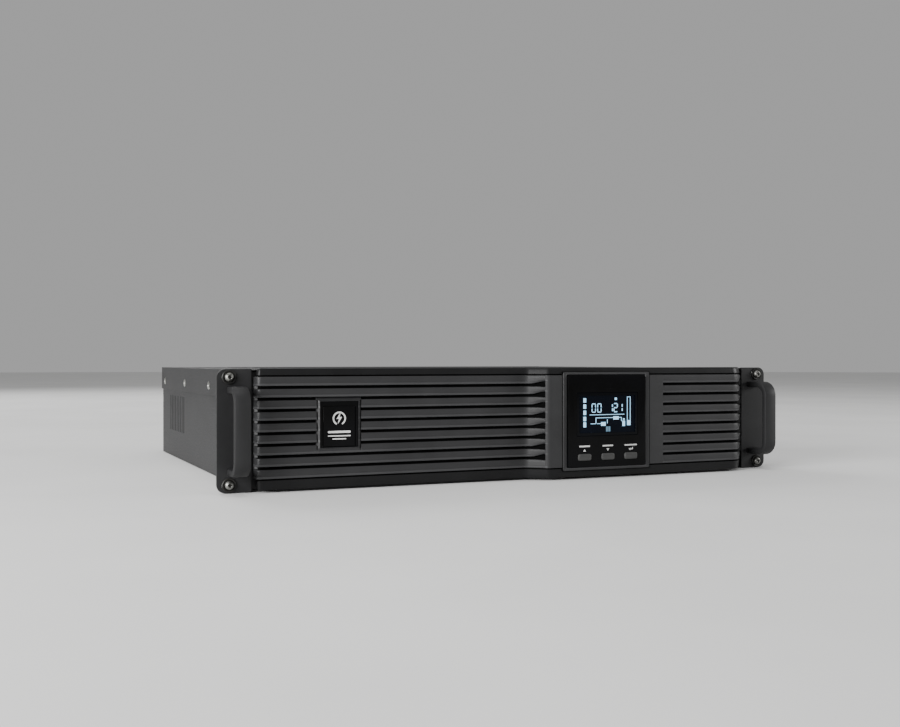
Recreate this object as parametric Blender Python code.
"""Rack and tower uninterruptible power supply, two rack units high, as separate named pieces.

Sizes are in millimetres. X runs to the right as seen from the front, Y runs from the front to the
back, Z is up. Y = 0 is the rear face of the rack ears, and Z = 0 is the underside of the case.
"""

from math import cos, pi, radians, sin

import bmesh
import bpy
from mathutils import Matrix, Vector

MM = 0.001

# Clearances and sheet thicknesses
FIT = 0.3
SHEET = 1.2
COVER_SHEET = 1.0

# Overall, over the rack ears
EAR_SPAN = 482.6
CASE_HEIGHT = 87.0
CASE_DEPTH = 380.0

# Case
EAR_REACH = 22.3
CASE_WIDTH = EAR_SPAN - 2 * EAR_REACH
CASE_FRONT = 0.5
COVER_LIP = 22.0
TONGUE_REACH = 6.0
TONGUE_INSET = 19.0
VENT_WIDTH = 3.0
VENT_HEIGHT = 34.0
VENT_PITCH = 9.0
VENT_COUNT = 9

# Rack ears and what is on them
EAR_HEIGHT = CASE_HEIGHT + 0.6
EAR_THICKNESS = 2.0
EAR_SIDE_LENGTH = 70.0
EAR_CORNER = 6.0
EAR_GAP_TO_BEZEL = 1.5
HOLE_TO_EDGE = 8.75
HOLE_SPAN = EAR_SPAN - 2 * HOLE_TO_EDGE
HOLE_PITCH = 76.2
HOLE_WIDTH = 10.5
HOLE_HEIGHT = 7.0
SCREW_HEAD_RADIUS = 5.2
SCREW_HEAD_HEIGHT = 3.2
SCREW_RADIUS = 2.7
SCREW_LENGTH = 16.0
HANDLE_OFFSET = 9.2
HANDLE_WIDTH = 11.5
HANDLE_HEIGHT = 63.0
HANDLE_REACH = 24.2
HANDLE_THICKNESS = 5.0
HANDLE_CORNER = 12.0

# Bezel
BEZEL_INSET = 4.0
BEZEL_WIDTH = CASE_WIDTH - 2 * BEZEL_INSET
BEZEL_BOTTOM = 1.6
BEZEL_TOP = CASE_HEIGHT + 1.0
BEZEL_BACK = -0.3
BEZEL_WALL = 2.5
LOW_FACE = 11.5
HIGH_FACE = 23.5
RAMP_PAST_DIVIDER = 11.9
RAMP_WIDTH = 15.0
END_SLOPE_WIDTH = 18.0
END_SLOPE_BACK = 2.5
BEZEL_CORNER = 3.5
BOTTOM_BAND = 7.5
TOP_BAND = 5.4
RIB_COUNT = 9
SLOT_HEIGHT = 1.9
SLOT_DEPTH = 1.4
SLOT_TO_BACK = 2.5
GROOVE_HEIGHT = 1.2
GROOVE_DEPTH = 1.0
RIGHT_SLOT_MARGIN = 17.5
PEG_RADIUS = 2.2
PEG_REACH = 6.0
PEG_FIT = 0.5
PEG_INSET = 7.5

# Badge
BADGE_FRAME_WIDTH = 30.5
BADGE_FRAME_HEIGHT = 36.0
BADGE_FRAME_LEFT = 45.5
BADGE_FRAME_DROP = 17.2
BADGE_WIDTH = 24.0
BADGE_HEIGHT = 29.0
BADGE_DROP = 5.0
BADGE_RECESS = 1.3
BADGE_THICKNESS = 0.6
BADGE_GROOVE = 1.5

# Display module
DISPLAY_GAP = 15.5
DISPLAY_DEPTH = 20.0
DISPLAY_PROUD = 1.6
DISPLAY_WALL = 2.0
WINDOW_WIDTH = 56.6
WINDOW_HEIGHT = 34.0
WINDOW_DROP = 14.6
WINDOW_THICKNESS = 1.2
LCD_THICKNESS = 2.6
LCD_BEHIND = 1.0
BOARD_THICKNESS = 1.6
BUTTON_WIDTH = 12.0
BUTTON_HEIGHT = 5.4
BUTTON_SPACING = 21.5
BUTTON_DROP = 65.4
BUTTON_PROUD = 1.0
BUTTON_LENGTH = 6.0
BUTTON_FIT = 0.35
BUTTON_TRAVEL = 0.7

# Battery pack
CELL_LENGTH = 151.0
CELL_WIDTH = 94.0
CELL_HEIGHT = 65.0
CELL_GAP = 0.9
TRAY_SHEET = 1.0
TRAY_LIFT = 5.0
TRAY_SIDE_HEIGHT = 35.0
TRAY_FRONT_ABOVE = 4.0
TRAY_FRONT_PROUD = 1.2
BAY_FIT = 1.2
BAY_SIDE_GAP = 3.5
BAY_TAIL = 32.0
STRAP_LENGTH = 78.0
STRAP_WIDTH = 12.0
STRAP_THICKNESS = 1.2
STRAP_RISE = 2.6
LEAD_RADIUS = 2.2
LEAD_LENGTH = 28.0
PLUG_WIDTH = 17.0
PLUG_HEIGHT = 15.0
PLUG_DEPTH = 5.6
PLUG_UP = 14.0

# Power section
CORE_WIDTH = 104.0
CORE_HEIGHT = 78.0
CORE_STACK = 60.0
CORE_LEG = 32.0
CORE_WINDOW = 17.0
CORE_YOKE = 16.0
WINDING_OVERHANG = 17.0
TRANSFORMER_TO_WALL = 9.5
TRANSFORMER_Y = 100.0
BOARD_TO_DIVIDER = 8.7
BOARD_WIDTH = 150.0
BOARD_LENGTH = 170.0
BOARD_TO_WINDING = 18.0
BOARD_Z = 8.0
STANDOFF_RADIUS = 3.0
STANDOFF_INSET = 8.0
SINK_LENGTH = 90.0
SINK_HEIGHT = 36.0
SINK_BASE = 4.0
SINK_FIN = 13.0
SINK_FIN_THICKNESS = 2.0
SINK_FINS = 8
SINK_PLACES = ((56.0, 40.0), (56.0, 97.0))
CAPACITOR_RADIUS = 12.5
CAPACITOR_HEIGHT = 40.0
CAPACITOR_PLACES = ((120.0, 25.0), (120.0, 57.0), (120.0, 89.0), (120.0, 121.0))
RELAY_SIZE = (28.0, 12.5, 16.0)
RELAY_PLACES = ((22.0, 153.0), (62.0, 153.0), (102.0, 153.0))

# Fan
FAN_TO_WALL = 11.5
FAN_SIZE = 80.0
FAN_DEPTH = 25.0
FAN_RIM = 2.0
FAN_BORE = FAN_SIZE / 2 - FAN_RIM
FAN_HUB = 17.0
FAN_BLADES = 7
FAN_TIP_GAP = 1.2
FAN_BLADE_THICKNESS = 1.6
FAN_BLADE_PITCH = radians(38.0)
FAN_CORNER = 4.0
SPIDER_THICKNESS = 3.0
SPIDER_ARM = 5.0
GUARD_THICKNESS = 1.2
GUARD_RING = 2.2
GUARD_RING_COUNT = 4
GUARD_RING_PITCH = 8.5
GUARD_PAST_CORNER = 3.0

# Rear sockets and ports, set out from the left: middles are heights
REAR_MARGIN = 8.2
REAR_GAP = 6.0
PORT_GAP = 10.0
OUTLET_COUNT = 4
OUTLET_PITCH = 38.0
OUTLET_HEIGHT = 27.0
OUTLET_DEPTH = 30.0
OUTLET_PROUD = 2.0
OUTLET_ROWS = (62.0, 24.0)
BLADE_SPACING = 12.7
BLADE_SLOT = (2.0, 8.0)
EARTH_HOLE_RADIUS = 2.5
EARTH_DROP = 10.3
BLADE_HOLE_DEPTH = 16.0
INLET_Z = 62.0
INLET_FLANGE = (50.0, 24.0)
INLET_CAVITY = (24.4, 16.8)
INLET_CAVITY_DEPTH = 16.5
INLET_BODY = (29.0, 21.5)
INLET_BODY_DEPTH = 20.0
INLET_PIN = (2.0, 4.0)
INLET_PIN_SPACING = 7.0
INLET_PIN_DROP = 2.6
PORT_PROUD = 0.8
BREAKER_Z = 24.0
BREAKER_NECK = 6.0
BREAKER_NECK_REACH = 7.0
BREAKER_NUT = 9.0
BREAKER_NUT_THICKNESS = 3.0
BREAKER_BORE = 4.0
BREAKER_BORE_DEPTH = 12.0
BREAKER_BODY = (19.0, 26.0, 19.0)
BREAKER_BUTTON = 3.5
BREAKER_TRAVEL = 3.0
RJ_Z = 68.0
RJ_SIZE = (30.0, 14.0, 18.0)
RJ_CAVITY = (11.7, 8.4, 12.0)
RJ_PITCH = 14.5
SERIAL_Z = 46.0
SERIAL_FLANGE = (31.0, 12.5)
SERIAL_SHELL = (17.0, 8.4)
SERIAL_REACH = 5.8
USB_Z = 23.0
USB_TO_TERMINAL = 22.0
USB_SIZE = (12.0, 11.0, 16.0)
USB_CAVITY = (8.5, 7.8, 9.0)
USB_TONGUE = (5.6, 3.2)
EPO_SIZE = (12.0, 9.0, 12.0)
EPO_HOLE = (2.4, 2.4, 8.0)
OPTION_Z = 44.0
OPTION_SIZE = (44.0, 60.0)
OPTION_FRAME = 5.0
GROUND_Z = 9.5
GROUND_HEAD = 4.0


# ---------------------------------------------------------------- helpers

MATERIALS = {
    "black steel": ("#1c1d1e", 0.55, 0.6),
    "galvanised steel": ("#a9acab", 0.4, 0.9),
    "black plastic": ("#26272a", 0.6, 0.0),
    "gloss black": ("#0b0c0e", 0.15, 0.0),
    "screw zinc": ("#b6b7b4", 0.35, 1.0),
    "grey key": ("#7c8086", 0.5, 0.0),
    "lcd": ("#0c1720", 0.3, 0.0),
    "board green": ("#1d4a2c", 0.5, 0.0),
    "battery case": ("#31343a", 0.55, 0.0),
    "laminations": ("#5b5550", 0.5, 0.7),
    "copper winding": ("#8a4a26", 0.4, 0.7),
    "aluminium": ("#c2c4c6", 0.35, 1.0),
    "capacitor sleeve": ("#1a2c52", 0.4, 0.0),
    "relay blue": ("#1c4a86", 0.4, 0.0),
    "strap": ("#c9a227", 0.7, 0.0),
    "lead": ("#151515", 0.6, 0.0),
    "connector red": ("#8e1f1c", 0.5, 0.0),
    "terminal green": ("#2c7a3c", 0.5, 0.0),
}


def linear(channel):
    return channel / 12.92 if channel <= 0.04045 else ((channel + 0.055) / 1.055) ** 2.4


def material(name):
    """The named Principled BSDF material, made the first time it is asked for."""
    found = bpy.data.materials.get(name)
    if found:
        return found
    colour, roughness, metallic = MATERIALS[name]
    found = bpy.data.materials.new(name)
    found.use_nodes = True
    shader = found.node_tree.nodes["Principled BSDF"]
    rgb = [linear(int(colour[i : i + 2], 16) / 255) for i in (1, 3, 5)]
    shader.inputs["Base Color"].default_value = (*rgb, 1)
    shader.inputs["Roughness"].default_value = roughness
    shader.inputs["Metallic"].default_value = metallic
    return found


def clear_scene():
    for obj in list(bpy.data.objects):
        bpy.data.objects.remove(obj, do_unlink=True)


def joint_empty(name, at):
    empty = bpy.data.objects.new(name, None)
    empty.location = Vector(at) * MM
    empty.empty_display_size = 0.02
    bpy.context.scene.collection.objects.link(empty)
    return empty


def add(name, bm, at=(0, 0, 0), parent=None, finish="black plastic", smooth=False):
    """Links bm, in millimetres about the point at, as one object, and parents it if asked."""
    bmesh.ops.recalc_face_normals(bm, faces=bm.faces)
    bmesh.ops.scale(bm, vec=(MM, MM, MM), verts=bm.verts)
    mesh = bpy.data.meshes.new(name)
    bm.to_mesh(mesh)
    bm.free()
    if smooth:
        mesh.shade_smooth()
        mesh.set_sharp_from_angle(angle=radians(35))
    obj = bpy.data.objects.new(name, mesh)
    mesh.materials.append(material(finish))
    bpy.context.scene.collection.objects.link(obj)
    world = Matrix.Translation(Vector(at) * MM)
    if parent:
        obj.parent = parent
        obj.matrix_local = Matrix.Translation(-parent.location) @ world
    else:
        obj.matrix_world = world
    return obj


def box_into(bm, low, high):
    size = [b - a for a, b in zip(low, high)]
    centre = [(a + b) / 2 for a, b in zip(low, high)]
    place = Matrix.Translation(centre) @ Matrix.Diagonal((*size, 1))
    bmesh.ops.create_cube(bm, size=1, matrix=place)


def block(name, low, high, **options):
    """A box from corner low to corner high, with its origin at its centre."""
    centre = [(a + b) / 2 for a, b in zip(low, high)]
    bm = bmesh.new()
    box_into(bm, [a - c for a, c in zip(low, centre)], [b - c for b, c in zip(high, centre)])
    return add(name, bm, at=centre, **options)


def blocks(name, corners, **options):
    """Several boxes that don't touch, in one mesh: for cutters."""
    bm = bmesh.new()
    for low, high in corners:
        box_into(bm, low, high)
    return add(name, bm, **options)


def prism_into(bm, outline, axis, start, end):
    """Extrudes a closed 2-D outline along axis. X takes (y, z), Y takes (x, z), Z takes (x, y)."""
    place = {
        "X": lambda p, t: (t, p[0], p[1]),
        "Y": lambda p, t: (p[0], t, p[1]),
        "Z": lambda p, t: (p[0], p[1], t),
    }[axis]
    near = [bm.verts.new(place(p, start)) for p in outline]
    far = [bm.verts.new(place(p, end)) for p in outline]
    bm.faces.new(near)
    bm.faces.new(reversed(far))
    count = len(outline)
    for i in range(count):
        j = (i + 1) % count
        bm.faces.new((near[i], far[i], far[j], near[j]))


def prism(name, outline, axis, start, end, **options):
    bm = bmesh.new()
    prism_into(bm, outline, axis, start, end)
    return add(name, bm, **options)


def arc(x, y, radius, start, end, steps):
    """Points of an arc about (x, y), from angle start to angle end in radians, both included."""
    turn = (end - start) / steps
    return [
        (x + radius * cos(start + i * turn), y + radius * sin(start + i * turn))
        for i in range(steps + 1)
    ]


def circle(x, y, radius, steps=24):
    return arc(x, y, radius, 0, 2 * pi * (steps - 1) / steps, steps - 1)


def rounded(x0, x1, y0, y1, radius, steps=5):
    """A rectangle's outline with all four corners rounded."""
    corners = ((x1, y1, 0), (x0, y1, 1), (x0, y0, 2), (x1, y0, 3))
    points = []
    for x, y, quarter in corners:
        cx = x - radius if x == x1 else x + radius
        cy = y - radius if y == y1 else y + radius
        points += arc(cx, cy, radius, quarter * pi / 2, (quarter + 1) * pi / 2, steps)
    return points


def turned_into(bm, profile, at, steps=24):
    """Turns a profile of (radius, y) about the Y axis through at. Its first and last radius are 0."""
    x, y, z = at
    rings = []
    for radius, along in profile:
        if radius == 0:
            rings.append([bm.verts.new((x, y + along, z))])
            continue
        rings.append(
            [bm.verts.new((x + a, y + along, z + b)) for a, b in circle(0, 0, radius, steps)]
        )
    for one, two in zip(rings, rings[1:]):
        for i in range(steps):
            j = (i + 1) % steps
            if len(one) == 1:
                bm.faces.new((one[0], two[i], two[j]))
            elif len(two) == 1:
                bm.faces.new((one[i], two[0], one[j]))
            else:
                bm.faces.new((one[i], two[i], two[j], one[j]))


def turned(name, profile, at, steps=24, **options):
    bm = bmesh.new()
    turned_into(bm, profile, (0, 0, 0), steps)
    return add(name, bm, at=at, smooth=True, **options)


def helper(obj):
    obj.hide_render = True
    obj.display_type = "WIRE"
    return obj


def combine(target, other, operation):
    helper(other)
    step = target.modifiers.new(f"{operation.lower()} {other.name}", "BOOLEAN")
    step.operation = operation
    step.solver = "EXACT"
    step.object = other
    return target


def cut(target, *cutters):
    for cutter in cutters:
        combine(target, cutter, "DIFFERENCE")
    return target


def join(target, *pieces):
    for piece in pieces:
        combine(target, piece, "UNION")
    return target


def offset_path(points, distance):
    """Moves an open path sideways, to the left of its direction, with mitred corners."""
    moved = []
    for i, point in enumerate(points):
        here = Vector(point)
        sides = []
        if i:
            sides.append((here - Vector(points[i - 1])).normalized())
        if i < len(points) - 1:
            sides.append((Vector(points[i + 1]) - here).normalized())
        normals = [Vector((-d.y, d.x)) for d in sides]
        middle = sum(normals, Vector((0, 0))).normalized()
        moved.append(tuple(here + middle * (distance / middle.dot(normals[0]))))
    return moved


def band(path, inward, outward):
    """The closed outline of a strip that follows a path, for cutting a groove along it."""
    return offset_path(path, inward) + offset_path(path, -outward)[::-1]


# ---------------------------------------------------------------- places that several pieces share

HALF_CASE = CASE_WIDTH / 2
WALL_OUT = HALF_CASE - COVER_SHEET - FIT
WALL_IN = WALL_OUT - SHEET
INNER_TOP = CASE_HEIGHT - COVER_SHEET - FIT
PLATE_HALF = WALL_IN - FIT
PLATE_BOTTOM = SHEET + FIT
PLATE_TOP = INNER_TOP - FIT
FRONT_PLATE_Y = CASE_FRONT + FIT
REAR_PLATE_Y = CASE_DEPTH - SHEET - FIT
REAR_FACE = REAR_PLATE_Y + SHEET

MIDDLE_Z = EAR_HEIGHT / 2
HALF_BEZEL = BEZEL_WIDTH / 2
PANEL_BOTTOM = BEZEL_BOTTOM + BOTTOM_BAND
PANEL_TOP = BEZEL_TOP - TOP_BAND
PANEL_HEIGHT = PANEL_TOP - PANEL_BOTTOM
RIB_PITCH = PANEL_HEIGHT / RIB_COUNT
PLATEAU_END = HALF_BEZEL - END_SLOPE_WIDTH

PACK_WIDTH = 2 * CELL_WIDTH + 3 * CELL_GAP
TRAY_WIDTH = PACK_WIDTH + 2 * TRAY_SHEET
TRAY_LEFT = -HALF_BEZEL + BEZEL_WALL + BAY_FIT
TRAY_RIGHT = TRAY_LEFT + TRAY_WIDTH
TRAY_Y = FRONT_PLATE_Y - TRAY_FRONT_PROUD
PACK_START = TRAY_Y + TRAY_SHEET
PACK_LENGTH = 2 * CELL_LENGTH + 3 * CELL_GAP
CELL_BOTTOM = TRAY_LIFT + TRAY_SHEET + FIT
TRAY_TOP = CELL_BOTTOM + CELL_HEIGHT + TRAY_FRONT_ABOVE
BAY_LEFT = TRAY_LEFT - BAY_FIT
BAY_RIGHT = TRAY_RIGHT + BAY_FIT
DIVIDER_X = BAY_RIGHT + BAY_SIDE_GAP
BAY_END = PACK_START + PACK_LENGTH + TRAY_SHEET + BAY_TAIL

RAMP_START = DIVIDER_X + RAMP_PAST_DIVIDER
RAMP_END = RAMP_START + RAMP_WIDTH
DISPLAY_LEFT = RAMP_END + DISPLAY_GAP
DISPLAY_X = DISPLAY_LEFT + PANEL_HEIGHT / 2
DISPLAY_Z = PANEL_BOTTOM + PANEL_HEIGHT / 2
DISPLAY_FRONT = -HIGH_FACE - DISPLAY_PROUD
BUTTON_Z = PANEL_TOP - BUTTON_DROP
PLUG_X = DIVIDER_X + SHEET + 4 * FIT + PLUG_WIDTH / 2

TRANSFORMER_X = WALL_IN - TRANSFORMER_TO_WALL - CORE_WIDTH / 2
BOARD_LEFT = DIVIDER_X + SHEET + BOARD_TO_DIVIDER
BOARD_FRONT = TRANSFORMER_Y + CORE_STACK / 2 + WINDING_OVERHANG + BOARD_TO_WINDING
FAN_X = WALL_IN - FAN_TO_WALL - FAN_SIZE / 2

OPTION_PLACE = (-WALL_IN + REAR_MARGIN + OPTION_SIZE[0] / 2, OPTION_Z)
OUTLET_WIDTH = OUTLET_COUNT * OUTLET_PITCH
OUTLET_X = OPTION_PLACE[0] + OPTION_SIZE[0] / 2 + REAR_GAP + OUTLET_WIDTH / 2
PORT_X = OUTLET_X + OUTLET_WIDTH / 2 + PORT_GAP + SERIAL_FLANGE[0] / 2
RJ_PLACE = (PORT_X, RJ_Z)
SERIAL_PLACE = (PORT_X, SERIAL_Z)
USB_PLACE = (PORT_X - USB_TO_TERMINAL / 2, USB_Z)
EPO_PLACE = (PORT_X + USB_TO_TERMINAL / 2, USB_Z)
INLET_PLACE = (PORT_X + SERIAL_FLANGE[0] / 2 + REAR_GAP + INLET_FLANGE[0] / 2, INLET_Z)
BREAKER_PLACE = (INLET_PLACE[0], BREAKER_Z)
GROUND_PLACE = (INLET_PLACE[0] + INLET_FLANGE[0] / 2, GROUND_Z)

BADGE_X = -HALF_BEZEL + BADGE_FRAME_LEFT + BADGE_FRAME_WIDTH / 2
BADGE_FRAME_TOP = PANEL_TOP - BADGE_FRAME_DROP
BADGE_TOP = BADGE_FRAME_TOP - BADGE_DROP

PEGS = (
    (-HALF_BEZEL + 15.0, PANEL_TOP - 2.0, LOW_FACE),
    (RAMP_START - 28.0, PANEL_TOP - 2.0, LOW_FACE),
    (DISPLAY_LEFT + PANEL_HEIGHT + 28.0, PANEL_TOP - 2.0, HIGH_FACE),
    (PLATEAU_END - 14.0, PANEL_BOTTOM - 1.0, HIGH_FACE),
)


# ---------------------------------------------------------------- case


def base_pan():
    """Floor and both side walls, folded from one sheet, with vents and the board's standoffs.

    The floor reaches forward under the bezel as a tongue, and the walls stop behind the ears.
    """
    outline = [
        (-WALL_OUT, 0),
        (WALL_OUT, 0),
        (WALL_OUT, INNER_TOP),
        (WALL_IN, INNER_TOP),
        (WALL_IN, SHEET),
        (-WALL_IN, SHEET),
        (-WALL_IN, INNER_TOP),
        (-WALL_OUT, INNER_TOP),
    ]
    pan = prism("base_pan", outline, "Y", -TONGUE_REACH, CASE_DEPTH, finish="black steel")
    beside_tongue = []
    for side in (-1, 1):
        x = sorted((side * (HALF_CASE - TONGUE_INSET), side * (HALF_CASE + 1)))
        low = (x[0], -TONGUE_REACH - 1, -1)
        beside_tongue.append((low, (x[1], CASE_FRONT, CASE_HEIGHT)))
    cut(pan, blocks("tongue sides", beside_tongue))
    top = INNER_TOP - COVER_LIP - 4
    start = CASE_DEPTH - 40 - VENT_COUNT * VENT_PITCH
    vents = []
    for side in (-1, 1):
        x = sorted((side * (WALL_IN - 1), side * (WALL_OUT + 1)))
        for i in range(VENT_COUNT):
            y = start + i * VENT_PITCH
            vents.append(((x[0], y, top - VENT_HEIGHT), (x[1], y + VENT_WIDTH, top)))
    cut(pan, blocks("vent cutters", vents))
    feet = bmesh.new()
    for x in (BOARD_LEFT + STANDOFF_INSET, BOARD_LEFT + BOARD_WIDTH - STANDOFF_INSET):
        for y in (BOARD_FRONT + STANDOFF_INSET, BOARD_FRONT + BOARD_LENGTH - STANDOFF_INSET):
            outline = circle(x, y, STANDOFF_RADIUS, 12)
            prism_into(feet, outline, "Z", SHEET / 2, BOARD_Z - FIT)
    join(pan, add("standoffs", feet))


def top_cover():
    low = CASE_HEIGHT - COVER_LIP
    inside = HALF_CASE - COVER_SHEET
    outline = [
        (-HALF_CASE, low),
        (-inside, low),
        (-inside, CASE_HEIGHT - COVER_SHEET),
        (inside, CASE_HEIGHT - COVER_SHEET),
        (inside, low),
        (HALF_CASE, low),
        (HALF_CASE, CASE_HEIGHT),
        (-HALF_CASE, CASE_HEIGHT),
    ]
    prism("top_cover", outline, "Y", CASE_FRONT, CASE_DEPTH, finish="black steel")


def front_plate():
    """Sheet behind the bezel, with the battery bay's mouth and the bezel's peg holes."""
    low = (-PLATE_HALF, FRONT_PLATE_Y, PLATE_BOTTOM)
    high = (PLATE_HALF, FRONT_PLATE_Y + SHEET, PLATE_TOP)
    plate = block("front_plate", low, high, finish="galvanised steel")
    y0, y1 = FRONT_PLATE_Y - 1, FRONT_PLATE_Y + SHEET + 1
    bay = (
        (BAY_LEFT, y0, TRAY_LIFT - BAY_FIT / 2),
        (BAY_RIGHT, y1, TRAY_TOP + BAY_FIT),
    )
    cable = ((DISPLAY_X - 18, y0, DISPLAY_Z - 9), (DISPLAY_X + 18, y1, DISPLAY_Z + 9))
    half = PLUG_WIDTH / 2 - 1 + FIT
    socket = (
        (PLUG_X - half, y0, PLUG_UP + 1 - FIT),
        (PLUG_X + half, y1, PLUG_UP + PLUG_HEIGHT - 1 + FIT),
    )
    holes = bmesh.new()
    for x, z, _ in PEGS:
        prism_into(holes, circle(x, z, PEG_RADIUS + PEG_FIT, 16), "Y", y0, y1)
    cut(plate, blocks("front openings", [bay, cable, socket]), add("peg holes", holes))


def bay_divider():
    """Wall beside the battery bay, folded round its far end."""
    y0 = FRONT_PLATE_Y + SHEET + FIT
    outline = [
        (DIVIDER_X, y0),
        (DIVIDER_X + SHEET, y0),
        (DIVIDER_X + SHEET, BAY_END + SHEET),
        (-PLATE_HALF, BAY_END + SHEET),
        (-PLATE_HALF, BAY_END),
        (DIVIDER_X, BAY_END),
    ]
    prism("bay_divider", outline, "Z", PLATE_BOTTOM, PLATE_TOP, finish="galvanised steel")


def ear(side, name):
    """L-shaped rack ear with two oval holes. side is -1 on the left and 1 on the right."""
    inner = HALF_BEZEL + EAR_GAP_TO_BEZEL
    outer = EAR_SPAN / 2
    r = EAR_CORNER
    outline = [(inner, 0), (outer - r, 0)]
    outline += arc(outer - r, r, r, -pi / 2, 0, 5)
    outline += arc(outer - r, EAR_HEIGHT - r, r, 0, pi / 2, 5)
    outline += [(inner, EAR_HEIGHT)]
    outline = [(side * x, z) for x, z in outline]
    flange = prism(name, outline, "Y", -EAR_THICKNESS, 0, finish="black steel")
    x = sorted((side * (HALF_CASE + FIT), side * (HALF_CASE + FIT + EAR_THICKNESS)))
    low = (x[0], -EAR_THICKNESS / 2, FIT)
    high = (x[1], EAR_SIDE_LENGTH, EAR_HEIGHT - FIT)
    join(flange, block(f"{name} side", low, high))
    holes = bmesh.new()
    half = (HOLE_WIDTH - HOLE_HEIGHT) / 2
    for up in (-1, 1):
        x, z = side * HOLE_SPAN / 2, MIDDLE_Z + up * HOLE_PITCH / 2
        oval = arc(x + half, z, HOLE_HEIGHT / 2, -pi / 2, pi / 2, 8)
        oval += arc(x - half, z, HOLE_HEIGHT / 2, pi / 2, 3 * pi / 2, 8)
        prism_into(holes, oval, "Y", -EAR_THICKNESS - 1, 1)
    cut(flange, add(f"{name} holes", holes))


def handle_outline():
    """Side view (y, z) of the bent pull handle."""
    back = -EAR_THICKNESS - FIT
    front = back - HANDLE_REACH
    low, high = MIDDLE_Z - HANDLE_HEIGHT / 2, MIDDLE_Z + HANDLE_HEIGHT / 2
    r, t = HANDLE_CORNER, HANDLE_THICKNESS
    outer = [(back, low)]
    outer += arc(front + r, low + r, r, 3 * pi / 2, pi, 6)
    outer += arc(front + r, high - r, r, pi, pi / 2, 6)
    outer += [(back, high)]
    inner = [(back, high - t)]
    inner += arc(front + r, high - r, r - t, pi / 2, pi, 6)
    inner += arc(front + r, low + r, r - t, pi, 3 * pi / 2, 6)
    inner += [(back, low + t)]
    return outer + inner


def handle(side, name):
    x = side * (HALF_CASE + HANDLE_OFFSET)
    ends = (x - HANDLE_WIDTH / 2, x + HANDLE_WIDTH / 2)
    prism(name, handle_outline(), "X", *ends, finish="black plastic", smooth=True)


def rack_screw(name, side, up):
    """Pan-head screw through an ear, with its head against the ear's front."""
    r, h = SCREW_HEAD_RADIUS, SCREW_HEAD_HEIGHT
    under = -EAR_THICKNESS - FIT
    profile = [
        (0, under - h),
        (r * 0.55, under - h * 0.96),
        (r * 0.85, under - h * 0.75),
        (r, under - h * 0.35),
        (r, under),
        (SCREW_RADIUS, under),
        (SCREW_RADIUS, under + SCREW_LENGTH),
        (0, under + SCREW_LENGTH),
    ]
    at = (side * HOLE_SPAN / 2, 0, MIDDLE_Z + up * HOLE_PITCH / 2)
    turned(name, profile, at, steps=16, finish="screw zinc")


# ---------------------------------------------------------------- bezel and display


def front_path():
    """Plan outline (x, y) of the bezel's skin, from its left rear edge to its right rear edge."""
    c = BEZEL_CORNER
    path = [(-HALF_BEZEL, BEZEL_BACK)]
    path += arc(-HALF_BEZEL + c, -LOW_FACE + c, c, pi, 3 * pi / 2, 4)
    path += [(RAMP_START, -LOW_FACE), (RAMP_END, -HIGH_FACE), (PLATEAU_END, -HIGH_FACE)]
    path += [(HALF_BEZEL, -END_SLOPE_BACK), (HALF_BEZEL, BEZEL_BACK)]
    return path


def slot_rows():
    """Heights of the eight slots' middles, from the top down."""
    return [PANEL_TOP - RIB_PITCH * i for i in range(1, RIB_COUNT)]


def slot_cutter():
    """All horizontal slots: they wrap round the left side, climb the ramp and stop at the badge."""
    path = front_path()
    start = (path[0][0], BEZEL_BACK - SLOT_TO_BACK)
    corner = path[1:6]
    share = 0.82
    ramp_stop = (
        RAMP_START + RAMP_WIDTH * share,
        -LOW_FACE - (HIGH_FACE - LOW_FACE) * share,
    )
    left = [start, *corner, (RAMP_START, -LOW_FACE), ramp_stop]
    gap = BADGE_FRAME_WIDTH / 2 + BADGE_GROOVE
    before = [start, *corner, (BADGE_X - gap, -LOW_FACE)]
    after = [(BADGE_X + gap, -LOW_FACE), (RAMP_START, -LOW_FACE), ramp_stop]
    right_start = DISPLAY_LEFT + PANEL_HEIGHT + RIGHT_SLOT_MARGIN
    share = 0.86
    right_end = (
        PLATEAU_END + END_SLOPE_WIDTH * share,
        -HIGH_FACE + (HIGH_FACE - END_SLOPE_BACK) * share,
    )
    right = [(right_start, -HIGH_FACE), (PLATEAU_END, -HIGH_FACE), right_end]
    bm = bmesh.new()
    for z in slot_rows():
        low, high = z - SLOT_HEIGHT / 2, z + SLOT_HEIGHT / 2
        beside_badge = BADGE_FRAME_TOP - BADGE_FRAME_HEIGHT - 1 < z < BADGE_FRAME_TOP + 1
        for route in (before, after, right) if beside_badge else (left, right):
            prism_into(bm, band(route, SLOT_DEPTH, 3), "Z", low, high)
    return helper(add("slot cutter", bm))


def groove_cutter():
    """The two long grooves that mark off the bezel's top and bottom bands."""
    path = front_path()
    path[0] = (path[0][0], BEZEL_BACK - SLOT_TO_BACK)
    path = path[:-1]
    bm = bmesh.new()
    for z in (PANEL_BOTTOM, PANEL_TOP):
        low, high = z - GROOVE_HEIGHT / 2, z + GROOVE_HEIGHT / 2
        prism_into(bm, band(path, GROOVE_DEPTH, 3), "Z", low, high)
    return helper(add("groove cutter", bm))


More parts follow.
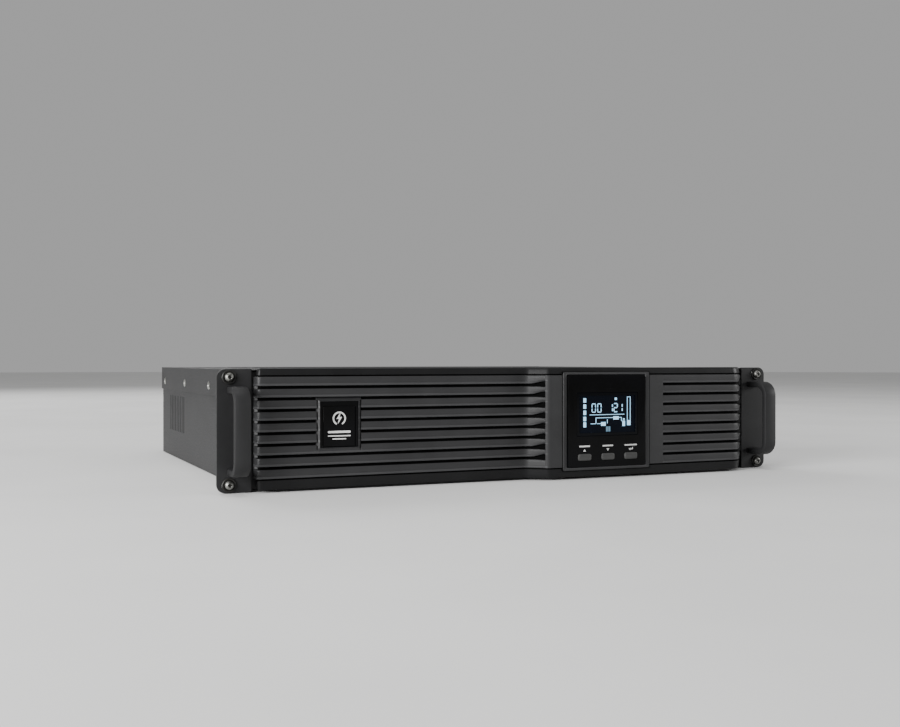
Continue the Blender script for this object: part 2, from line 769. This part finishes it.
def bezel(parent):
    """Hollow front panel: ribbed low part on the left, raised part with the display's opening."""
    outer = front_path()
    panel = prism("bezel", outer, "Z", BEZEL_BOTTOM, BEZEL_TOP, parent=parent)
    inner = offset_path(outer, BEZEL_WALL)
    inner[0] = (inner[0][0], BEZEL_BACK + 2)
    inner[-1] = (inner[-1][0], BEZEL_BACK + 2)
    hollow = prism("bezel hollow", inner, "Z", BEZEL_BOTTOM + BEZEL_WALL, BEZEL_TOP - BEZEL_WALL)
    opening = (
        (DISPLAY_LEFT, -HIGH_FACE - 5, PANEL_BOTTOM),
        (DISPLAY_LEFT + PANEL_HEIGHT, -HIGH_FACE + BEZEL_WALL + 2, PANEL_TOP),
    )
    recess = (
        (BADGE_X - BADGE_WIDTH / 2 - FIT, -LOW_FACE - 2, BADGE_TOP - BADGE_HEIGHT - FIT),
        (BADGE_X + BADGE_WIDTH / 2 + FIT, -LOW_FACE + BADGE_RECESS, BADGE_TOP + FIT),
    )
    groove = []
    for side in (-1, 1):
        x = BADGE_X + side * (BADGE_FRAME_WIDTH / 2 + BADGE_GROOVE / 2)
        low = (x - BADGE_GROOVE / 2, -LOW_FACE - 2, BADGE_FRAME_TOP - BADGE_FRAME_HEIGHT)
        high = (x + BADGE_GROOVE / 2, -LOW_FACE + SLOT_DEPTH - 0.2, BADGE_FRAME_TOP)
        groove.append((low, high))
    pegs = bmesh.new()
    for x, z, face in PEGS:
        outline = circle(x, z, PEG_RADIUS, 12)
        prism_into(pegs, outline, "Y", -face + BEZEL_WALL / 2, PEG_REACH)
    cut(panel, hollow, slot_cutter(), groove_cutter())
    cut(panel, blocks("front recesses", [opening, recess, *groove]))
    join(panel, add("pegs", pegs))


def badge_plate(parent):
    y = -LOW_FACE + BADGE_RECESS - FIT
    low = (BADGE_X - BADGE_WIDTH / 2, y - BADGE_THICKNESS, BADGE_TOP - BADGE_HEIGHT)
    high = (BADGE_X + BADGE_WIDTH / 2, y, BADGE_TOP)
    block("badge_plate", low, high, parent=parent, finish="gloss black")


def window_corners(grow=0.0):
    """Lowest X, highest X, lowest Z and highest Z of the window, grown all round."""
    half = WINDOW_WIDTH / 2 + grow
    top = PANEL_TOP - WINDOW_DROP
    return DISPLAY_X - half, DISPLAY_X + half, top - WINDOW_HEIGHT - grow, top + grow


def button_outline(index, grow=0.0):
    x = DISPLAY_X + (index - 1) * BUTTON_SPACING
    w, h = BUTTON_WIDTH / 2 + grow, BUTTON_HEIGHT / 2 + grow
    return rounded(x - w, x + w, BUTTON_Z - h, BUTTON_Z + h, 1.6 + grow, 3)


def display_module(parent):
    half = PANEL_HEIGHT / 2 - FIT
    front, back = DISPLAY_FRONT, DISPLAY_FRONT + DISPLAY_DEPTH
    low = (DISPLAY_X - half, front, DISPLAY_Z - half)
    high = (DISPLAY_X + half, back, DISPLAY_Z + half)
    housing = block("display_housing", low, high, parent=parent, finish="gloss black")
    w = DISPLAY_WALL
    hollow = (
        (low[0] + w, front + w, low[2] + w),
        (high[0] - w, back + 2, high[2] - w),
    )
    x0, x1, z0, z1 = window_corners(FIT)
    holes = bmesh.new()
    box_into(holes, (x0, front - 2, z0), (x1, front + w + 1, z1))
    for i in range(3):
        prism_into(holes, button_outline(i, BUTTON_FIT), "Y", front - 2, front + w + 1)
    cut(housing, blocks("display hollow", [hollow]), add("display openings", holes))
    x0, x1, z0, z1 = window_corners()
    y = front + FIT
    block(
        "display_window",
        (x0, y, z0),
        (x1, y + WINDOW_THICKNESS, z1),
        parent=parent,
        finish="gloss black",
    )
    y = front + w + LCD_BEHIND
    grow = 2.0
    block(
        "lcd_panel",
        (x0 - grow, y, z0 - grow),
        (x1 + grow, y + LCD_THICKNESS, z1 + grow),
        parent=parent,
        finish="lcd",
    )
    y = front + w + BUTTON_LENGTH + 2 * BUTTON_TRAVEL
    inset = w + 4 * FIT
    block(
        "display_board",
        (low[0] + inset, y, low[2] + inset),
        (high[0] - inset, y + BOARD_THICKNESS, high[2] - inset),
        parent=parent,
        finish="board green",
    )


def button(name, index, parent):
    y = DISPLAY_FRONT - BUTTON_PROUD
    outline = button_outline(index)
    prism(name, outline, "Y", y, y + BUTTON_LENGTH, parent=parent, finish="grey key")


# ---------------------------------------------------------------- battery pack


def battery_tray(parent):
    """Sheet tray with low sides and a full-height front."""
    low = (TRAY_LEFT, TRAY_Y, TRAY_LIFT)
    end = PACK_START + PACK_LENGTH
    high = (TRAY_RIGHT, end + TRAY_SHEET, TRAY_TOP)
    tray = block("battery_tray", low, high, parent=parent, finish="galvanised steel")
    t = TRAY_SHEET
    inside = (
        (TRAY_LEFT + t, PACK_START, TRAY_LIFT + t),
        (TRAY_RIGHT - t, end, TRAY_TOP + 5),
    )
    above = (
        (TRAY_LEFT - 2, PACK_START, TRAY_LIFT + TRAY_SIDE_HEIGHT),
        (TRAY_RIGHT + 2, end + 5, TRAY_TOP + 6),
    )
    cut(tray, blocks("tray inside", [inside]), blocks("tray above sides", [above]))


def batteries(parent):
    """Four sealed lead-acid blocks, two wide and two deep."""
    for row in range(2):
        for column in range(2):
            x = TRAY_LEFT + TRAY_SHEET + CELL_GAP + column * (CELL_WIDTH + CELL_GAP)
            y = PACK_START + CELL_GAP + row * (CELL_LENGTH + CELL_GAP)
            low = (x, y, CELL_BOTTOM)
            high = (x + CELL_WIDTH, y + CELL_LENGTH, CELL_BOTTOM + CELL_HEIGHT)
            name = f"battery_{2 * row + column + 1}"
            block(name, low, high, parent=parent, finish="battery case")


def pull_strap(parent):
    """Strap fixed at both ends to the tray's front, standing off it in the middle."""
    x = (TRAY_LEFT + TRAY_RIGHT) / 2
    y = TRAY_Y - FIT
    half, foot, t, rise = STRAP_LENGTH / 2, 9.0, STRAP_THICKNESS, STRAP_RISE
    front = [(-half, 0), (-half, -t), (-half + foot, -t), (-half + foot + 6, -t - rise)]
    front += [(half - foot - 6, -t - rise), (half - foot, -t), (half, -t), (half, 0)]
    back = [(half - foot, 0), (half - foot - 6, -rise), (-half + foot + 6, -rise), (-half + foot, 0)]
    outline = [(x + a, y + b) for a, b in front + back]
    z = (TRAY_LIFT + TRAY_TOP) / 2
    ends = (z - STRAP_WIDTH / 2, z + STRAP_WIDTH / 2)
    prism("pull_strap", outline, "Z", *ends, parent=parent, finish="strap")


def battery_lead(parent):
    """Lead that leaves the tray's front, bends and runs to the plug."""
    z = PLUG_UP + PLUG_HEIGHT / 2
    bend = LEAD_RADIUS + 0.6
    y0 = TRAY_Y - FIT
    end = PLUG_X - PLUG_WIDTH / 2 - FIT
    start = end - LEAD_LENGTH
    route = [(start, y0)]
    route += arc(start + bend, y0 - 0.1 - bend + bend, bend, pi, 3 * pi / 2, 5)[1:]
    steps = 4
    last = route[-1]
    route += [(last[0] + (end - last[0]) * i / steps, last[1]) for i in range(1, steps + 1)]
    curve = bpy.data.curves.new("battery_lead", "CURVE")
    curve.dimensions = "3D"
    curve.bevel_depth = LEAD_RADIUS * MM
    curve.bevel_resolution = 2
    curve.use_fill_caps = True
    spline = curve.splines.new("POLY")
    spline.points.add(len(route) - 1)
    for point, (x, y) in zip(spline.points, route):
        point.co = ((x - start) * MM, (y - y0) * MM, 0, 1)
    obj = bpy.data.objects.new("battery_lead", curve)
    curve.materials.append(material("lead"))
    bpy.context.scene.collection.objects.link(obj)
    obj.parent = parent
    obj.matrix_local = Matrix.Translation(Vector((start, y0, z)) * MM - parent.location)


def battery_plug(parent):
    y = FRONT_PLATE_Y - 2.1
    low = (PLUG_X - PLUG_WIDTH / 2, y - PLUG_DEPTH, PLUG_UP)
    high = (PLUG_X + PLUG_WIDTH / 2, y, PLUG_UP + PLUG_HEIGHT)
    block("battery_plug", low, high, parent=parent, finish="connector red")


def battery_socket():
    y = FRONT_PLATE_Y - 2.1 + FIT
    half = PLUG_WIDTH / 2 - 1
    low = (PLUG_X - half, y, PLUG_UP + 1)
    high = (PLUG_X + half, y + 17, PLUG_UP + PLUG_HEIGHT - 1)
    block("battery_socket", low, high, finish="connector red")


# ---------------------------------------------------------------- power section


def transformer():
    x, y = TRANSFORMER_X, TRANSFORMER_Y
    z0 = PLATE_BOTTOM
    low = (x - CORE_WIDTH / 2, y - CORE_STACK / 2, z0)
    high = (x + CORE_WIDTH / 2, y + CORE_STACK / 2, z0 + CORE_HEIGHT)
    core = block("transformer_core", low, high, finish="laminations")
    leg = CORE_LEG / 2
    bottom, top = z0 + CORE_YOKE, z0 + CORE_HEIGHT - CORE_YOKE
    windows = []
    for side in (-1, 1):
        edges = sorted((x + side * leg, x + side * (leg + CORE_WINDOW)))
        low = (edges[0], y - CORE_STACK / 2 - 1, bottom)
        windows.append((low, (edges[1], y + CORE_STACK / 2 + 1, top)))
    cut(core, blocks("core windows", windows))
    out_x = leg + CORE_WINDOW - FIT
    out_y = CORE_STACK / 2 + WINDING_OVERHANG
    outer = rounded(x - out_x, x + out_x, y - out_y, y + out_y, 8, 4)
    coil = prism(
        "transformer_winding", outer, "Z", bottom + FIT, top - FIT, finish="copper winding"
    )
    low = (x - leg - FIT, y - CORE_STACK / 2 - FIT, bottom - 1)
    high = (x + leg + FIT, y + CORE_STACK / 2 + FIT, top + 1)
    cut(coil, blocks("coil bore", [(low, high)]))


def main_board():
    low = (BOARD_LEFT, BOARD_FRONT, BOARD_Z)
    high = (BOARD_LEFT + BOARD_WIDTH, BOARD_FRONT + BOARD_LENGTH, BOARD_Z + BOARD_THICKNESS)
    block("main_board", low, high, finish="board green")


def heat_sink(name, x, y):
    """Comb-shaped extrusion standing on the board."""
    half = SINK_LENGTH / 2
    pitch = (SINK_LENGTH - SINK_FIN_THICKNESS) / (SINK_FINS - 1)
    outline = [(x - half, y), (x + half, y)]
    for i in range(SINK_FINS):
        right = x + half - i * pitch
        left = right - SINK_FIN_THICKNESS
        outline += [(right, y + SINK_BASE)] if i else []
        outline += [(right, y + SINK_BASE + SINK_FIN), (left, y + SINK_BASE + SINK_FIN)]
        outline += [(left, y + SINK_BASE)] if i < SINK_FINS - 1 else []
    z = BOARD_Z + BOARD_THICKNESS + FIT
    prism(name, outline, "Z", z, z + SINK_HEIGHT, finish="aluminium")


def capacitor(name, x, y):
    z = BOARD_Z + BOARD_THICKNESS + FIT
    outline = circle(x, y, CAPACITOR_RADIUS, 20)
    prism(name, outline, "Z", z, z + CAPACITOR_HEIGHT, finish="capacitor sleeve", smooth=True)


def relay(name, x, y):
    w, d, h = RELAY_SIZE
    z = BOARD_Z + BOARD_THICKNESS + FIT
    low, high = (x - w / 2, y - d / 2, z), (x + w / 2, y + d / 2, z + h)
    block(name, low, high, finish="relay blue")


# ---------------------------------------------------------------- fan


def fan_places():
    back = REAR_PLATE_Y - FIT
    return FAN_X, back - FAN_DEPTH, back, CASE_HEIGHT / 2


def fan_housing():
    x, front, back, z = fan_places()
    half = FAN_SIZE / 2
    outline = rounded(x - half, x + half, z - half, z + half, FAN_CORNER, 4)
    frame = prism("fan_housing", outline, "Y", front, back, finish="black plastic")
    bore = prism("fan bore", circle(x, z, FAN_BORE, 40), "Y", front - 1, back + 1)
    hub = prism("fan hub", circle(x, z, FAN_HUB, 24), "Y", front, front + SPIDER_THICKNESS)
    arms = bmesh.new()
    a, reach = SPIDER_ARM / 2, FAN_BORE + 1
    y0, y1 = front + 0.2, front + SPIDER_THICKNESS - 0.2
    box_into(arms, (x - reach, y0, z - a), (x + reach, y1, z + a))
    upright = prism("fan arm", [(x - a, z - reach), (x + a, z - reach), (x + a, z + reach),
                                (x - a, z + reach)], "Y", y0 + 0.1, y1 - 0.1)
    cut(frame, bore)
    join(frame, hub, add("fan arms", arms), upright)


def fan_rotor(parent):
    """Hub with pitched blades, turning about the Y axis."""
    x, front, back, z = fan_places()
    y0, y1 = front + SPIDER_THICKNESS + 1, back - 1.5
    length = y1 - y0
    profile = [(0, 0), (FAN_HUB, 0), (FAN_HUB, length - 2), (FAN_HUB - 2, length), (0, length)]
    rotor = turned("fan_rotor", profile, (x, y0, z), steps=28, parent=parent)
    tip = FAN_BORE - FAN_TIP_GAP
    half = (length - 4) / 2 / cos(FAN_BLADE_PITCH)
    blades = bmesh.new()
    for i in range(FAN_BLADES):
        one = bmesh.new()
        t = FAN_BLADE_THICKNESS / 2
        box_into(one, (FAN_HUB - 4, -half, -t), (tip - 1.5, half, t))
        pitch = Matrix.Rotation(FAN_BLADE_PITCH, 4, "X")
        around = Matrix.Rotation(2 * pi * i / FAN_BLADES, 4, "Y")
        bmesh.ops.transform(one, matrix=around @ pitch, verts=one.verts)
        scratch = bpy.data.meshes.new("blade")
        one.to_mesh(scratch)
        one.free()
        blades.from_mesh(scratch)
        bpy.data.meshes.remove(scratch)
    join(rotor, add("fan blades", blades, at=(x, (y0 + y1) / 2, z)))


def fan_guard():
    """Stamped finger guard on the outside of the rear panel."""
    x, _, _, z = fan_places()
    y0 = REAR_FACE + FIT
    y1 = y0 + GUARD_THICKNESS
    guard = None
    for i in range(GUARD_RING_COUNT):
        radius = FAN_BORE - i * GUARD_RING_PITCH
        outer = prism(f"guard ring {i}", circle(x, z, radius, 32), "Y", y0, y1, finish="screw zinc")
        hole = prism(f"guard hole {i}", circle(x, z, radius - GUARD_RING, 32), "Y", y0 - 1, y1 + 1)
        cut(outer, hole)
        if guard is None:
            guard = outer
            guard.name = "fan_guard"
        else:
            join(guard, outer)
    reach = FAN_SIZE / 2 * 2**0.5 - GUARD_PAST_CORNER
    for i, angle in enumerate((pi / 4, -pi / 4)):
        bar = bmesh.new()
        box_into(bar, (-reach, y0 + 0.05 * (i + 1), -2), (reach, y1 - 0.05 * (i + 1), 2))
        bmesh.ops.rotate(bar, matrix=Matrix.Rotation(angle, 3, "Y"), verts=bar.verts)
        join(guard, add(f"guard bar {i}", bar, at=(x, 0, z)))


# ---------------------------------------------------------------- rear panel and ports


def outlet_low_high(row, grow=0.0):
    half = OUTLET_WIDTH / 2
    z = OUTLET_ROWS[row]
    low = (OUTLET_X - half - grow, z - OUTLET_HEIGHT / 2 - grow)
    return low, (OUTLET_X + half + grow, z + OUTLET_HEIGHT / 2 + grow)


def around(place, size, grow):
    """Corners of a panel opening that clears a body of that size by grow."""
    (x, z), (w, h) = place, size
    y0, y1 = REAR_PLATE_Y - 1, REAR_FACE + 1
    low = (x - w / 2 - grow, y0, z - h / 2 - grow)
    return low, (x + w / 2 + grow, y1, z + h / 2 + grow)


def rear_panel():
    low = (-PLATE_HALF, REAR_PLATE_Y, PLATE_BOTTOM)
    panel = block("rear_panel", low, (PLATE_HALF, REAR_FACE, PLATE_TOP), finish="black steel")
    openings = [
        around(INLET_PLACE, INLET_BODY, FIT),
        around(RJ_PLACE, RJ_SIZE[:2], FIT),
        around(SERIAL_PLACE, SERIAL_SHELL, FIT),
        around(USB_PLACE, USB_SIZE[:2], FIT),
        around(EPO_PLACE, EPO_SIZE[:2], FIT),
        around(OPTION_PLACE, [side - 2 * OPTION_FRAME for side in OPTION_SIZE], 0),
    ]
    for row in range(len(OUTLET_ROWS)):
        low, high = outlet_low_high(row, FIT)
        y0, y1 = REAR_PLATE_Y - 1, REAR_FACE + 1
        openings.append(((low[0], y0, low[1]), (high[0], y1, high[1])))
    round_holes = bmesh.new()
    x, _, _, z = fan_places()
    y0, y1 = REAR_PLATE_Y - 1, REAR_FACE + 1
    prism_into(round_holes, circle(x, z, FAN_BORE, 40), "Y", y0, y1)
    prism_into(round_holes, circle(*BREAKER_PLACE, BREAKER_NECK + FIT, 20), "Y", y0, y1)
    prism_into(round_holes, circle(*GROUND_PLACE, 2.3, 12), "Y", y0, y1)
    cut(panel, blocks("rear openings", openings), add("rear round holes", round_holes))


def outlet_bank(name, row):
    """A row of three-slot mains sockets in one moulded block."""
    low, high = outlet_low_high(row)
    face = REAR_FACE + OUTLET_PROUD
    corners = (low[0], face - OUTLET_DEPTH, low[1]), (high[0], face, high[1])
    bank = block(name, *corners, finish="black plastic")
    holes = bmesh.new()
    z = OUTLET_ROWS[row] + 3.0
    y0, y1 = face - BLADE_HOLE_DEPTH, face + 1
    w, h = BLADE_SLOT
    for i in range(OUTLET_COUNT):
        x = low[0] + OUTLET_PITCH * (i + 0.5)
        for side in (-1, 1):
            middle = x + side * BLADE_SPACING / 2
            box_into(holes, (middle - w / 2, y0, z - h / 2), (middle + w / 2, y1, z + h / 2))
        earth = circle(x, z - EARTH_DROP, EARTH_HOLE_RADIUS, 12)
        prism_into(holes, earth, "Y", y0, y1)
    cut(bank, add(f"{name} holes", holes))


def ac_inlet():
    """Three-pin appliance inlet with its mounting flange outside the panel."""
    x, z = INLET_PLACE
    y_in = REAR_FACE + FIT
    face = y_in + 3
    w, h = INLET_FLANGE
    inlet = block("ac_inlet", (x - w / 2, y_in, z - h / 2), (x + w / 2, face, z + h / 2))
    w, h = INLET_BODY
    body = block(
        "inlet body", (x - w / 2, face - INLET_BODY_DEPTH, z - h / 2), (x + w / 2, face - 1, z + h / 2)
    )
    w, h = INLET_CAVITY
    cavity = rounded(x - w / 2, x + w / 2, z - h / 2, z + h / 2, 2.5, 3)
    bottom = face - INLET_CAVITY_DEPTH
    well = prism("inlet cavity", cavity, "Y", bottom, face + 2)
    pins = bmesh.new()
    pw, ph = INLET_PIN
    for place in (-1, 0, 1):
        px = x + place * INLET_PIN_SPACING
        pz = z - INLET_PIN_DROP
        low = (px - pw / 2, bottom - 1, pz - ph / 2)
        box_into(pins, low, (px + pw / 2, face - 3, pz + ph / 2))
    join(inlet, body)
    cut(inlet, well)
    join(inlet, add("inlet pins", pins))


def breaker_body():
    x, z = BREAKER_PLACE
    w, d, h = BREAKER_BODY
    back = REAR_PLATE_Y - FIT
    body = block("breaker_body", (x - w / 2, back - d, z - h / 2), (x + w / 2, back, z + h / 2))
    end = REAR_FACE + BREAKER_NECK_REACH
    neck = prism("breaker neck", circle(x, z, BREAKER_NECK, 20), "Y", back - 1, end)
    y = REAR_FACE + FIT
    nut = prism("breaker nut", circle(x, z, BREAKER_NUT, 6), "Y", y, y + BREAKER_NUT_THICKNESS)
    bore = circle(x, z, BREAKER_BORE, 20)
    well = prism("breaker bore", bore, "Y", end - BREAKER_BORE_DEPTH - BREAKER_TRAVEL, end + 2)
    join(body, neck, nut)
    cut(body, well)


def breaker_button(parent):
    x, z = BREAKER_PLACE
    end = REAR_FACE + BREAKER_NECK_REACH
    start = end - BREAKER_BORE_DEPTH
    length = BREAKER_BORE_DEPTH + 1.2
    r = BREAKER_BUTTON
    profile = [(0, 0), (r, 0), (r, length - 0.8), (r - 0.8, length), (0, length)]
    turned("breaker_button", profile, (x, start, z), steps=20, parent=parent)


def port_block(name, place, size, finish="galvanised steel"):
    """A port's body, through the panel, with its face just proud of it."""
    (x, z), (w, h, d) = place, size
    face = REAR_FACE + PORT_PROUD
    low = (x - w / 2, face - d, z - h / 2)
    return block(name, low, (x + w / 2, face, z + h / 2), finish=finish), face


def network_ports():
    body, face = port_block("network_ports", RJ_PLACE, RJ_SIZE)
    w, h, d = RJ_CAVITY
    wells = []
    for side in (-1, 1):
        x = RJ_PLACE[0] + side * RJ_PITCH / 2
        low = (x - w / 2, face - d, RJ_PLACE[1] - h / 2)
        wells.append((low, (x + w / 2, face + 1, RJ_PLACE[1] + h / 2)))
    cut(body, blocks("network wells", wells))


def serial_port():
    """Nine-pin port: a flange behind the panel and its shell through it."""
    x, z = SERIAL_PLACE
    w, h = SERIAL_FLANGE
    back = REAR_PLATE_Y - FIT
    low, high = (x - w / 2, back - 8, z - h / 2), (x + w / 2, back, z + h / 2)
    body = block("serial_port", low, high, finish="galvanised steel")
    w, h = SERIAL_SHELL
    slant = 1.4
    shell = [(x - w / 2, z + h / 2), (x + w / 2, z + h / 2)]
    shell += [(x + w / 2 - slant, z - h / 2), (x - w / 2 + slant, z - h / 2)]
    end = REAR_FACE + SERIAL_REACH
    join(body, prism("serial shell", shell, "Y", back - 1, end))
    t = 0.8
    well = [(a + (t if a < x else -t), b + (t if b < z else -t)) for a, b in shell]
    cut(body, prism("serial well", well, "Y", end - 5.5, end + 1))


def usb_port():
    body, face = port_block("usb_port", USB_PLACE, USB_SIZE)
    w, h, d = USB_CAVITY
    x, z = USB_PLACE
    low, high = (x - w / 2, face - d, z - h / 2), (x + w / 2, face + 1, z + h / 2)
    cut(body, blocks("usb well", [(low, high)]))
    w, h = USB_TONGUE
    tongue = block("usb tongue", (x - w / 2, face - d - 1, z - h / 2), (x + w / 2, face - 0.6, z + h / 2))
    join(body, tongue)


def shutdown_terminal():
    """Two-pole plug-in terminal for the remote emergency stop."""
    body, face = port_block("shutdown_terminal", EPO_PLACE, EPO_SIZE, "terminal green")
    w, h, d = EPO_HOLE
    wells = []
    for side in (-1, 1):
        x = EPO_PLACE[0] + side * 2.6
        low = (x - w / 2, face - d, EPO_PLACE[1] - h / 2)
        wells.append((low, (x + w / 2, face + 1, EPO_PLACE[1] + h / 2)))
    cut(body, blocks("terminal wells", wells))


def option_slot_cover():
    """Cover of the empty card slot, with its two screws."""
    (x, z), (w, h) = OPTION_PLACE, OPTION_SIZE
    y0 = REAR_FACE + FIT
    cover = block(
        "option_slot_cover", (x - w / 2, y0, z - h / 2), (x + w / 2, y0 + SHEET, z + h / 2),
        finish="black steel",
    )
    heads = bmesh.new()
    for side in (-1, 1):
        outline = circle(x, z + side * (h / 2 - OPTION_FRAME / 2 - 1), 2.3, 12)
        prism_into(heads, outline, "Y", y0 + SHEET / 2, y0 + SHEET + 1.6)
    join(cover, add("cover screw heads", heads))


def ground_screw():
    x, z = GROUND_PLACE
    y = REAR_FACE + FIT
    r = GROUND_HEAD
    profile = [(0, -8), (1.9, -8), (1.9, 0), (r + 1, 0), (r + 1, 0.8), (r, 0.8), (r, 2.6)]
    profile += [(r - 1, 3.2), (0, 3.2)]
    turned("ground_screw", profile, (x, y, z), steps=16, finish="screw zinc")


# ---------------------------------------------------------------- assembly


def build_case():
    base_pan()
    top_cover()
    front_plate()
    bay_divider()
    rear_panel()
    for side, word in ((-1, "left"), (1, "right")):
        ear(side, f"ear_{word}")
        handle(side, f"handle_{word}")
        rack_screw(f"rack_screw_{word}_top", side, 1)
        rack_screw(f"rack_screw_{word}_bottom", side, -1)


def build_front():
    bezel_slide = joint_empty("bezel slide", (0, -LOW_FACE, DISPLAY_Z))
    bezel(bezel_slide)
    badge_plate(bezel_slide)
    display_slide = joint_empty("display slide", (DISPLAY_X, DISPLAY_FRONT, DISPLAY_Z))
    display_module(display_slide)
    for index, name in enumerate(("button_up", "button_down", "button_enter")):
        x = DISPLAY_X + (index - 1) * BUTTON_SPACING
        button(name, index, joint_empty(f"{name} slide", (x, DISPLAY_FRONT, BUTTON_Z)))


def build_battery_pack():
    place = ((TRAY_LEFT + TRAY_RIGHT) / 2, TRAY_Y, TRAY_LIFT)
    pack_slide = joint_empty("battery slide", place)
    battery_tray(pack_slide)
    batteries(pack_slide)
    pull_strap(pack_slide)
    battery_lead(pack_slide)
    battery_plug(pack_slide)


def build_power_section():
    battery_socket()
    transformer()
    main_board()
    rows = (
        (heat_sink, "heat_sink", SINK_PLACES),
        (capacitor, "capacitor", CAPACITOR_PLACES),
        (relay, "relay", RELAY_PLACES),
    )
    for make, name, places in rows:
        for i, (x, y) in enumerate(places):
            make(f"{name}_{i + 1}", BOARD_LEFT + x, BOARD_FRONT + y)


def build_rear():
    x, front, _, z = fan_places()
    fan_housing()
    fan_rotor(joint_empty("fan axis", (x, front, z)))
    fan_guard()
    outlet_bank("outlet_bank_upper", 0)
    outlet_bank("outlet_bank_lower", 1)
    ac_inlet()
    breaker_body()
    bx, bz = BREAKER_PLACE
    breaker_button(joint_empty("breaker slide", (bx, REAR_FACE, bz)))
    network_ports()
    serial_port()
    usb_port()
    shutdown_terminal()
    option_slot_cover()
    ground_screw()


def main():
    clear_scene()
    build_case()
    build_front()
    build_battery_pack()
    build_power_section()
    build_rear()
    bpy.context.view_layer.update()


main()
